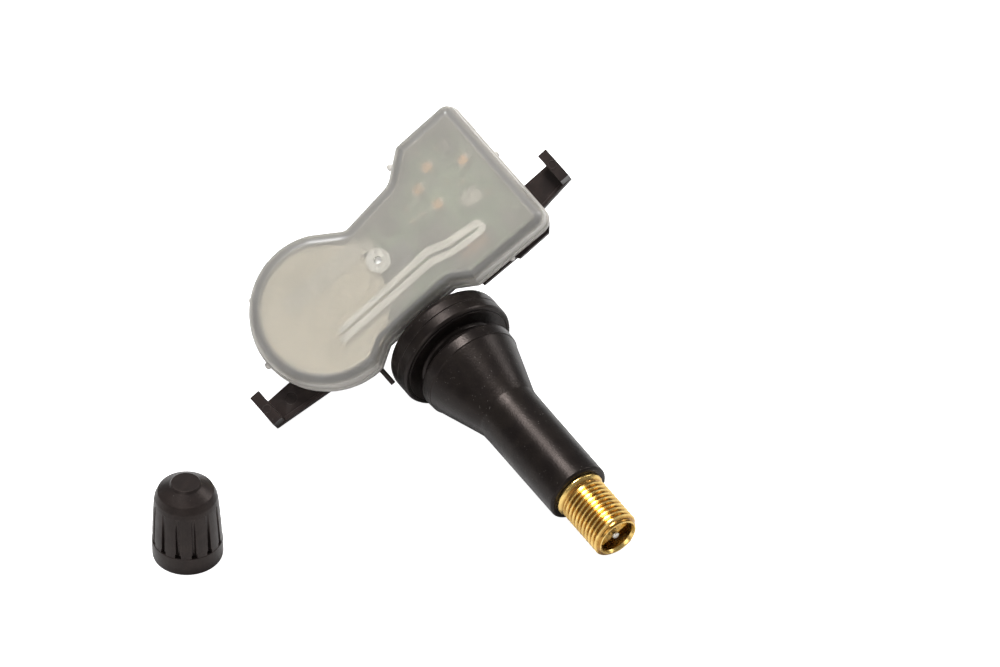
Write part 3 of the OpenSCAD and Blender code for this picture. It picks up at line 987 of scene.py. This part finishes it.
@dataclass
class Housing(Assembly):
    """Clear cover over the electronics, with its port, gates and looped bead."""

    low: float = 1.9
    rim_high: float = 3.1
    high: float = 6.7
    wall_top: float = 5.5
    # Height above which the inner faces of the cover take painted shade.
    painted_shade_low: float = 4.0
    face: float = 0.9
    wall: float = 1.1
    rim: float = 0.3
    round_r: float = 12.1
    cell: Point = (-10.4, 16.9)
    cell_room: float = 10.1
    cell_top: float = 5.35
    port: Point = (0.5, 16.9)
    port_r: float = 0.6
    membrane_r: float = 2.0
    bead_y: float = 12.1
    gates: tuple[Point, ...] = ((-17.9, 26.1), (-22.5, 16.9), (11.2, 27.4), (24.4, 18), (15.9, 4.5))

    def outline(self) -> list[Corner]:
        """Outline of the cover, counter-clockwise from the battery end's upper side.

        Returns:
            Its corners.
        """
        battery_end = [(x, y, 0.0) for x, y in arc(self.cell, self.round_r, 62, 273.3, 60)]
        battery_end[-1] = (*battery_end[-1][:2], 1.0)
        return battery_end + [(-6.6, 6.6, 1.2), (6.4, 6.6, 1.2), (9.5, 4.5, 0.8), (24.5, 4.0, 2.3),
                              (24.7, 28.9, 2.0), (13.7, 28.9, 1.6), (9, 25.3, 3), (-0.2, 24.4, 1.2)]

    def shell(self) -> BMesh:
        """The cover as one closed wall, open below, with painted shade on its inner faces under the ceiling.

        Returns:
            Its mesh in the sensor frame.
        """
        ceiling = self.high - self.face
        edge, over, under = 0.22, 1.97, 0.9
        inner = [(self.wall, self.low), (self.wall, self.low + 0.3), (self.wall + 0.12, ceiling - under)]
        inner += rounding(self.wall + 0.12, ceiling - under, under, under, 6)
        outer = [(0.1, self.low), (0, self.low + 0.1), (0, self.rim_high - edge)]
        outer += rounding(0, self.rim_high - edge, edge, edge, 3)
        outer += [(self.rim - 0.02, self.rim_high), (self.rim, self.rim_high + 0.04),
                  (self.rim + 0.05, self.high - over)]
        outer += rounding(self.rim + 0.05, self.high - over, over, over, 8)
        bm = stack(self.outline(), inner[::-1] + outer)
        around = len(bm.verts) // (len(inner) + len(outer))
        bm.verts.index_update()
        bm.normal_update()
        for face in bm.faces:
            middle = face.calc_center_median().z
            inside = max(v.index for v in face.verts) < around * len(inner) and len(face.verts) == 4
            # Inner faces high under the ceiling take painted shade, a dark band seen through the face inside
            # its rim.
            if inside and middle > self.painted_shade_low and face.normal.z > -0.93:
                face.material_index = 2
            elif middle < self.wall_top and face.normal.z > -0.5:
                face.material_index = 1
        return bm

    def build(self) -> None:
        """Builds the cover and what is moulded on it."""
        bm = self.shell()
        hole = lathe([(0, self.high + 1, 0), (self.port_r, self.high + 1, 0), (self.port_r, 6.1, 0),
                      (self.membrane_r, 6.1, 0), (self.membrane_r, 4, 0), (0, 4, 0)], steps=48)
        bmesh.ops.translate(hole, vec=(*self.port, 0), verts=hole.verts)
        room = lathe([(0, self.low - 1, 0), (self.cell_room, self.low - 1, 0),
                      (self.cell_room, self.cell_top, 0.1), (0, self.cell_top, 0)], steps=96)
        bmesh.ops.translate(room, vec=(*self.cell, 0), verts=room.verts)
        self.piece(carve(bm, [hole, room]), "cover_shell", ("milky_cover", "milky_wall", "milky_shade"),
                   "clear_plastic", "clear_cover", sharp=50)
        self.gates_and_bead()

    def gates_and_bead(self) -> None:
        """Builds the gates, the port's collar and the looped bead."""
        gates = bmesh.new()
        for x, y in self.gates:
            stub = lathe([(0, self.low, 0), (0.55, self.low, 0.1), (0.5, self.low + 1.05, 0.15),
                          (0, self.low + 1.1, 0)], steps=24, arc_steps=2)
            add(gates, stub, Matrix.Translation((x, y, 0)))
        self.piece(gates, "cover_gates", "milky_wall", "clear_plastic")
        ceiling = self.high - self.face
        m = self.bead_y
        path = [(-11.6, m - 1.35, 0.4), (6.4, m - 1.35, 2), (9.5, m - 2.35, 2), (16.2, m - 2.9, 1.1),
                (16.2, m - 0.5, 1.1), (10.2, m + 0.3, 1.5), (7.4, m + 1.35, 1.5), (-11.0, m + 1.0, 0.4),
                (-11.0, m + 0.15, 0.2), (6.9, m + 0.25, 1), (9.9, m - 0.85, 1), (15.0, m - 1.45, 0.2),
                (15.0, m - 1.9, 0.2), (9.7, m - 1.35, 1), (6.7, m - 0.25, 1), (-11.6, m - 0.28, 0.2)]
        section = [(0.2, -0.55), (0.05, -0.42), (0, -0.25), (0, 0.2)]
        bead = stack(path, [(inset, ceiling + rise) for inset, rise in section])
        self.piece(bead, "cover_bead", "milky_bead", "clear_plastic")
        collar = lathe([(1.3, ceiling - 0.5, 0.1), (1.75, ceiling - 0.5, 0.1), (1.75, ceiling - 0.02, 0),
                        (1.3, ceiling - 0.02, 0)], closed=True, steps=48, arc_steps=2)
        bmesh.ops.translate(collar, vec=(*self.port, 0), verts=collar.verts)
        self.piece(collar, "port_collar", "milky_bead", "clear_plastic")
        self.dressed("port_membrane", "membrane", "membrane", 0.04, "port_disc")


@dataclass
class Carrier(Assembly):
    """Black carrier plate with its arms, ridges and ejector marks."""

    plate_top: float = 1.9
    hook_top: float = 5.0

    def build(self) -> None:
        """Builds the carrier and its details."""
        self.dressed("carrier", "carrier_black", "carrier_plastic", 0.16, "carrier_frame", 3)
        details = bmesh.new()
        ridge = 0.28
        for start, end, width in (((-26.0, 9.1), (-17.5, 8.05), 0.6), ((23.6, 7.15), (29.1, 7.8), 0.5)):
            add(details, self.ridge(start, end, width, ridge))
        for x, y in ((-26.95, 11.4), (29.8, 10.4)):
            ring = lathe([(0.5, self.hook_top - 0.1, 0), (0.72, self.hook_top - 0.1, 0),
                          (0.7, self.hook_top + 0.06, 0.02), (0.55, self.hook_top + 0.06, 0.02)],
                         closed=True, steps=32, arc_steps=2)
            add(details, ring, Matrix.Translation((x, y, 0)))
        self.piece(details, "carrier_details", "carrier_black", "carrier_plastic")

    def ridge(self, start: Point, end: Point, width: float, height: float) -> BMesh:
        """A low softened bar on the plate.

        Args:
            start: One end.
            end: The other end.
            width: Its width.
            height: Its height over the plate.

        Returns:
            Its mesh in the sensor frame.
        """
        way = Vector(end) - Vector(start)
        middle = (Vector(end) + Vector(start)) / 2
        sunk = 0.2
        bar = box_mesh((way.length, width, height + sunk), (0, 0, self.plate_top + (height - sunk) / 2))
        soften(bar, 0.1)
        turn = Matrix.Rotation(math.atan2(way.y, way.x), 4, "Z")
        bmesh.ops.transform(bar, matrix=Matrix.Translation((*middle, 0)) @ turn, verts=bar.verts)
        return bar


@dataclass
class Electronics(Assembly):
    """Coin cell, board and everything soldered to it."""

    cell: Point = (-10.4, 16.9)
    cell_r: float = 10.0
    cell_low: float = 2.05
    cell_h: float = 3.2
    board_top: float = 2.6

    def build(self) -> None:
        """Builds every electronic piece."""
        self.battery()
        for plain in (("circuit_board", "solder_mask", "board", 0.05),
                      ("controller_chip", "chip_epoxy", "chip_body", 0.08),
                      ("motion_sensor", "chip_epoxy", "chip_body", 0.08),
                      ("pressure_sensor", "sensor_epoxy", "sensor_body", 0.1),
                      ("crystal", "lid_steel", "crystal_can", 0.15), ("coil_core", "ferrite", "ferrite", 0.08),
                      ("battery_tab_positive", "nickel_strip", "tab_metal", 0.03),
                      ("battery_tab_negative", "nickel_strip", "tab_metal", 0.03)):
            self.dressed(*plain)
        for node, finish, slot, share in (("tantalum_capacitors", "tantalum_body", "tantalum", 0.3),
                                          ("ceramic_capacitors", "fired_ceramic", "ceramic_cap", 0.26),
                                          ("resistors", "resistor_film", "resistor", 0.28)):
            self.tinned(node, finish, slot, share)
        self.leads()
        self.winding()
        self.clips()

    def battery(self) -> None:
        """Builds the coin cell: can, sealing ring and the smaller cap below."""
        low, high, r = self.cell_low, self.cell_low + self.cell_h, self.cell_r
        profile = [(0, low, 0), (r - 1.25, low, 0.15), (r - 1.15, low + 0.3, 0), (r - 0.75, low + 0.3, 0.05),
                   (r - 0.55, low + 0.2, 0.1), (r, low + 0.7, 0.3), (r, high, 0.35), (r - 1.1, high, 0.1),
                   (r - 1.2, high - 0.06, 0), (0, high - 0.06, 0)]
        bm = lathe(profile, steps=128)
        bmesh.ops.translate(bm, vec=(*self.cell, 0), verts=bm.verts)
        self.piece(bm, "coin_cell", "nickel_can", "cell_can", "battery_cell")

    def tinned(self, node: str, finish: str, slot: str, share: float) -> None:
        """Builds a group of small parts with tinned ends.

        Args:
            node: The CAD node of the group.
            finish: Material of the bodies.
            slot: The record's slot.
            share: Share of the half length that each end takes.
        """
        bm = cad_copy(node, 0.05)
        back = self.places.sensor.inverted() @ self.places.table
        bmesh.ops.transform(bm, matrix=back, verts=bm.verts)
        left = set(bm.faces)
        while left:
            seed = [left.pop()]
            island = set(seed)
            while seed:
                for edge in seed.pop().edges:
                    for face in edge.link_faces:
                        if face in left:
                            left.discard(face)
                            island.add(face)
                            seed.append(face)
            xs = [v.co.x for f in island for v in f.verts]
            middle, half = (max(xs) + min(xs)) / 2, (max(xs) - min(xs)) / 2
            for side in (-1, 1):
                geometry = {g for f in island if f.is_valid for g in (f, *f.edges, *f.verts)}
                made = bmesh.ops.bisect_plane(bm, geom=list(geometry), dist=MERGE, plane_no=(1, 0, 0),
                                              plane_co=(middle + side * half * (1 - share), 0, 0))["geom"]
                island |= {g for g in made if isinstance(g, bmesh.types.BMFace)}
            for face in island:
                if face.is_valid and abs(face.calc_center_median().x - middle) > half * (1 - share):
                    face.material_index = 1
        self.piece(bm, node + "_piece", (finish, "tinned_end"), slot, node)

    def leads(self) -> None:
        """Builds the chips' pads and the pressure sensor's feet."""
        bm = bmesh.new()
        pitch = 0.65
        for (cx, cy), half, count in (((9.2, 14.0), 2.5, 7), ((5.0, 21.0), 1.5, 4), ((3.4, 15.4), 2.0, 4)):
            for i in range(count):
                along = (i - (count - 1) / 2) * pitch
                for x, y, w, d in ((cx + along, cy - half, 0.3, 0.5), (cx + along, cy + half, 0.3, 0.5),
                                   (cx - half, cy + along, 0.5, 0.3), (cx + half, cy + along, 0.5, 0.3)):
                    add(bm, soften(box_mesh((w, d, 0.16), (x, y, self.board_top + 0.09)), 0.03, 1))
        self.piece(bm, "solder_pads", "tinned_end", "tab_metal")

    def winding(self) -> None:
        """Builds the wake-up coil's turns of wire round its ferrite bar."""
        wire_r = 0.12
        length = 4.9
        pitch = 2 * wire_r + 0.02
        section = arc((1.0, 0), wire_r, 0, 315, 7)
        bm = helix(section, -length / 2, pitch, length / pitch, 24)
        for vert in bm.verts:
            vert.co.y *= 1.02
            vert.co.x *= 0.98
        turn = Matrix.Translation((12.8, 9.2, self.board_top + 1.06)) @ Matrix.Rotation(math.pi / 2, 4, "Y")
        bmesh.ops.transform(bm, matrix=turn, verts=bm.verts)
        self.piece(bm, "wire_turns", "copper_wire", "copper_wire", "coil_winding", weighted=False)

    def clips(self) -> None:
        """Builds the two bright slotted contacts at the ends of the board."""
        bm = bmesh.new()
        dark = bmesh.new()
        for x, y in ((19.6, 8.9), (19.8, 24.0)):
            add(dark, soften(box_mesh((1.7, 3.0, 1.5), (x, y, self.board_top + 0.75)), 0.1))
            add(bm, soften(box_mesh((0.3, 2.6, 1.9), (x, y, self.board_top + 0.95)), 0.05, 1))
        self.piece(dark, "contact_blocks", "chip_epoxy", "chip_body")
        self.piece(bm, "contact_blades", "nickel_strip", "tab_metal")


@dataclass
class Valve(Assembly):
    """Rubber valve, its brass stem, its core and the screw behind it."""

    home: ClassVar[str] = "valve"
    stem_r: float = 3.1
    thread_r: float = 3.82
    root_r: float = 3.38
    thread_low: float = 34.3
    tip: float = 43.7
    pitch: float = 0.83

    def build(self) -> None:
        """Builds every piece of the valve."""
        self.rubber()
        self.brass()
        self.core()
        self.spring()
        self.pin()

    def rubber(self) -> None:
        """Builds the rubber body."""
        r = self.stem_r
        profile = [(r, -3.3, 0), (9.4, -3.3, 0.45), (9.62, -2.4, 0.4), (9.62, -1.02, 0.04), (9.5, -0.9, 0.03),
                   (9.62, -0.78, 0.04), (9.62, 0.7, 0.3), (9.4, 1.1, 0.25), (8.95, 1.1, 0.03),
                   (8.9, 0.98, 0.03),
                   (8.75, 0.98, 0.03), (8.7, 1.1, 0.03), (6.5, 1.1, 0.3), (6.2, 1.5, 0.3), (6.2, 2.9, 0.25),
                   (6.45, 3.2, 0.1), (8.0, 3.2, 0.3), (8.1, 3.7, 0.2), (8.0, 5.28, 0.1), (7.86, 5.4, 0.06),
                   (7.82, 5.56, 0.2), (5.42, 13.3, 1.4), (5.06, 14.6, 1.5), (5.0, 16.2, 3), (4.95, 33.15, 0.25),
                   (4.6, 33.4, 0.1), (3.6, 33.4, 0.08), (3.6, 32.62, 0),
                   (r, 32.62, 0)]
        bm = lathe(profile, closed=True, steps=144)
        self.piece(bm, "rubber_body", "valve_rubber", "valve_rubber", "valve_rubber")

    def crest(self, height: float) -> float:
        """Largest radius of the thread at a stem position.

        Args:
            height: Position along the stem.

        Returns:
            The radius.
        """
        start = min(1.0, max(0.0, (height - self.thread_low) / 0.5))
        end = min(1.0, max(0.0, (self.tip - 0.1 - height) / 0.4))
        return self.root_r - 0.05 + (self.thread_r - self.root_r + 0.05) * min(start, end)

    def brass(self) -> None:
        """Builds the stem with its outer thread."""
        root = self.root_r
        profile = [(1.5, -3.5, 0), (3.0, -3.5, 0.1), (3.1, -3.3, 0.1), (3.1, 32.62, 0), (3.55, 32.62, 0),
                   (3.55, 33.42, 0), (3.97, 33.42, 0.05), (3.97, 33.82, 0.12), (3.74, 34.05, 0.1),
                   (root, 34.35, 0.15), (root, 43.35, 0.1), (3.2, 43.66, 0.1), (3.08, self.tip, 0.06),
                   (2.96, 43.66, 0.08), (2.72, 43.2, 0.1), (2.72, 34.6, 0), (1.95, 33.4, 0), (1.95, 22, 0),
                   (1.2, 22, 0), (1.2, 2, 0), (1.5, 2, 0)]
        bm = lathe(profile, closed=True, steps=96)
        half = self.pitch * 0.46
        tooth = [(root - 0.1, -half), (self.thread_r, -0.05), (self.thread_r, 0.05), (root - 0.1, half)]
        turns = (self.tip - half - 0.05 - self.thread_low) / self.pitch
        ridge = helix(tooth, self.thread_low, self.pitch, turns, 72)
        for vert in ridge.verts:
            radius = math.hypot(vert.co.x, vert.co.y)
            factor = min(1.0, self.crest(vert.co.z) / radius)
            vert.co.x *= factor
            vert.co.y *= factor
        add(bm, ridge)
        self.piece(bm, "brass_stem", "valve_brass", "valve_brass", "valve_stem", weighted=False)

    def core(self) -> None:
        """Builds the screwed-in top of the core and dresses its sealed pieces."""
        for node, finish, slot, body, width in (
                ("core_plug", "core_brass", "core_brass", Body.SENSOR, 0.1),
                ("core_barrel", "core_brass", "core_brass", Body.SENSOR, 0.05),
                ("core_gasket", "gasket_red", "gasket_red", Body.SENSOR, 0.05),
                ("stem_screw", "zinc_steel", "screw_steel", Body.SENSOR, 0.12),
                ("core_cup", "core_brass", "core_brass", Body.PIN, 0.05),
                ("core_cup_seal", "seal_rubber", "seal_rubber", Body.PIN, 0.05)):
            self.dressed(node, finish, slot, width, body=body)

    def spring(self) -> None:
        """Builds the wire coil round the pin and gives the piece a mesh of its own."""
        wire = 0.11
        low, high = 29.55 + wire, 34.36 - wire
        turns = 7
        bm = helix(arc((0.92, 0), wire, 0, 315, 7), low, (high - low) / turns, turns, 32)
        piece = self.piece(bm, "core_coil", "spring_steel", "spring_steel", "core_spring", weighted=False)
        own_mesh(piece)

    def pin(self) -> None:
        """Builds the pin with its rounded end and its collar."""
        profile = [(0, 25.7, 0), (0.6, 25.7, 0.08), (0.6, 34.4, 0), (1.03, 34.4, 0.05), (1.03, 34.9, 0.05),
                   (0.6, 34.95, 0), (0.6, 43.0, 0.1), (0.5, 43.22, 0.12), (0, 43.3, 0)]
        self.piece(lathe(profile, steps=40), "pin", "pin_steel", "pin_steel", "core_pin", body=Body.PIN)


@dataclass
class DustCap(Assembly):
    """Fluted dust cap with its threaded bore and washer."""

    home: ClassVar[str] = "cap"
    body: ClassVar[Body] = Body.CAP
    radius: float = 5.3
    height: float = 13.8
    bore_r: float = 4.0
    flutes: int = 13
    per_flute: int = 16
    flute_low: float = 3.15
    flute_high: float = 10.4
    half_width: float = 0.24

    def flute_depth(self, x: float, y: float, z: float) -> float:
        """Depth of the flutes at a point of the outside.

        Args:
            x: Its x.
            y: Its y.
            z: Its z.

        Returns:
            How far the point moves inwards.
        """
        if not self.flute_low - 0.001 < z < self.flute_high:
            return 0.0
        pitch = math.tau / self.flutes
        phase = (math.atan2(y, x) + math.pi / 2) / pitch + 0.5
        away = abs(phase - round(phase)) * pitch * self.radius
        share = (self.flute_high - z) / (self.flute_high - self.flute_low)
        width = self.half_width + (0.18 if z < self.flute_low + 0.65 else 0)
        if away > width:
            return 0.0
        return 0.08 + 0.6 * share

    def build(self) -> None:
        """Builds the cap and its washer."""
        r, top = self.radius, self.height
        rows = [self.flute_low - 0.02, self.flute_low, 3.78, 3.82, 4.6, 5.6, 6.6, 7.6, 8.6, 9.4, 10.0,
                self.flute_high - 0.02, self.flute_high + 0.02]
        outside = [(r - 0.08 - 0.4 * ((z - self.flute_low) / 7.3) ** 1.5, z, 0) for z in rows[1:]]
        outside.insert(0, (r, rows[0] - 0.08, 0.03))
        outside.insert(1, (r - 0.08, rows[0], 0))
        profile = [(self.bore_r, 0.25, 0.1), (4.3, 0, 0.08), (r - 0.05, 0, 0.15), (r, 0.4, 0.1), *outside,
                   (4.68, 11.2, 0.8), (4.2, 12.3, 0.18), (2.4, 13.42, 0.04), (2.12, top, 0.07),
                   (1.4, top - 0.02, 0)]
        closed = profile + [(0, top - 0.05, 0)]
        pocket_r, pocket_low, pocket_top = self.bore_r + 0.2, 9.3, 10.2
        inner = [(0, pocket_top, 0), (pocket_r, pocket_top, 0.1), (pocket_r, pocket_low, 0),
                 (self.bore_r, pocket_low, 0)]
        bm = lathe(inner + closed, steps=self.flutes * self.per_flute)
        for vert in bm.verts:
            reach = math.hypot(vert.co.x, vert.co.y)
            if reach > self.bore_r + 0.5:
                factor = 1 - self.flute_depth(*vert.co) / reach
                vert.co.x *= factor
                vert.co.y *= factor
        ridge = helix([(4.05, -0.36), (4.05, 0.36), (3.7, 0.06), (3.7, -0.06)], 1.0, 0.794, 9, 60)
        add(bm, ridge)
        self.piece(bm, "fluted_cap", "cap_nylon", "cap_plastic", "cap_shell", sharp=32)
        self.dressed("cap_seal", "cap_rubber", "seal_rubber", 0.08, "cap_washer")


# ---------------------------------------------------------------- floor, light and camera


@dataclass
class Studio:
    """Pale floor, soft light and the camera.

    Args:
        places: The local frames.
    """

    places: Places
    elevation: float = 40.5
    distance: float = 1.2
    lens: float = 285.5
    glow: float = 0.9
    surround: float = 0.3
    right: float = 6.944
    up: float = 2.663
    sink: float = 0.00002

    def build(self) -> None:
        """Builds the floor, the lights and the camera."""
        bpy.context.scene.view_settings.view_transform = "Standard"
        self.floor()
        self.world()
        self.light("key", (-0.15, 0.1, 0.8), 0.26, 7.6)
        self.light("side", (0.6, 0.25, 0.5), 0.3, 2.2)
        self.light("front", (-0.3, -0.8, 0.5), 0.4, 1.6)
        self.camera()

    def floor(self) -> None:
        """Builds the floor, a wide pale plane."""
        bm = bmesh.new()
        bmesh.ops.create_grid(bm, x_segments=1, y_segments=1, size=6)
        mesh = bpy.data.meshes.new("floor")
        bm.to_mesh(mesh)
        bm.free()
        plain = {"Roughness": 0.9, "Specular IOR Level": 0.1, "Emission Strength": self.glow}
        shader = Shader("pale_floor", self.places.table, plain)
        seen = shader.node("LightPath").outputs["Is Camera Ray"]
        shader.paint(Base_Color=(0.82, 0.82, 0.82), Emission_Color=seen)
        mesh.materials.append(shader.material)
        floor = bpy.data.objects.new("floor", mesh)
        floor.location.z = -self.sink
        bpy.context.scene.collection.objects.link(floor)
        floor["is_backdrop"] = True

    def world(self) -> None:
        """Sets an even white surround."""
        world = bpy.data.worlds.new("surround")
        world.use_nodes = True
        background = world.node_tree.nodes["Background"]
        background.inputs[0].default_value = (1, 1, 1, 1)
        background.inputs[1].default_value = self.surround
        bpy.context.scene.world = world

    def light(self, name: str, place: Sequence[float], size: float, power: float) -> None:
        """Adds a square area light that faces the object.

        Args:
            name: Its name.
            place: Where it stands, in metres.
            size: Its side in metres.
            power: Its power in watts.
        """
        data = bpy.data.lights.new(name, "AREA")
        data.size = size
        data.energy = power
        light = bpy.data.objects.new(name, data)
        light.location = place
        light.rotation_euler = (-Vector(place)).to_track_quat("-Z", "Y").to_euler()
        bpy.context.scene.collection.objects.link(light)

    def camera(self) -> None:
        """Adds the camera, which looks along +Y and down."""
        tilt = math.radians(self.elevation)
        towards = Vector((0, -math.cos(tilt), math.sin(tilt)))
        raised = Vector((0, math.sin(tilt), math.cos(tilt)))
        target = self.places.valve.translation + (Vector((1, 0, 0)) * self.right + raised * self.up) * MM
        data = bpy.data.cameras.new("camera")
        data.lens = self.lens
        data.sensor_width = 36
        data.clip_start = 0.05
        camera = bpy.data.objects.new("camera", data)
        camera.location = target + towards * self.distance
        camera.rotation_euler = (-towards).to_track_quat("-Z", "Y").to_euler()
        bpy.context.scene.collection.objects.link(camera)
        bpy.context.scene.camera = camera


def main() -> None:
    """Builds the object and its stage."""
    logging.basicConfig(level=logging.INFO, format="%(name)s: %(message)s")
    places = Places.from_frame()
    make_groups()
    finishes = Finishes(places).build()
    Studio(places).build()
    for part in (Housing(places, finishes), Carrier(places, finishes), Electronics(places, finishes),
                 Valve(places, finishes), DustCap(places, finishes)):
        part.build()
        log.info("%s built", type(part).__name__)
    boxes = {"cad": CAD_BOX, "visual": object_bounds()}
    boxes = {name: [list(corner) for corner in box] for name, box in boxes.items()}


if __name__ == "__main__":
    main()
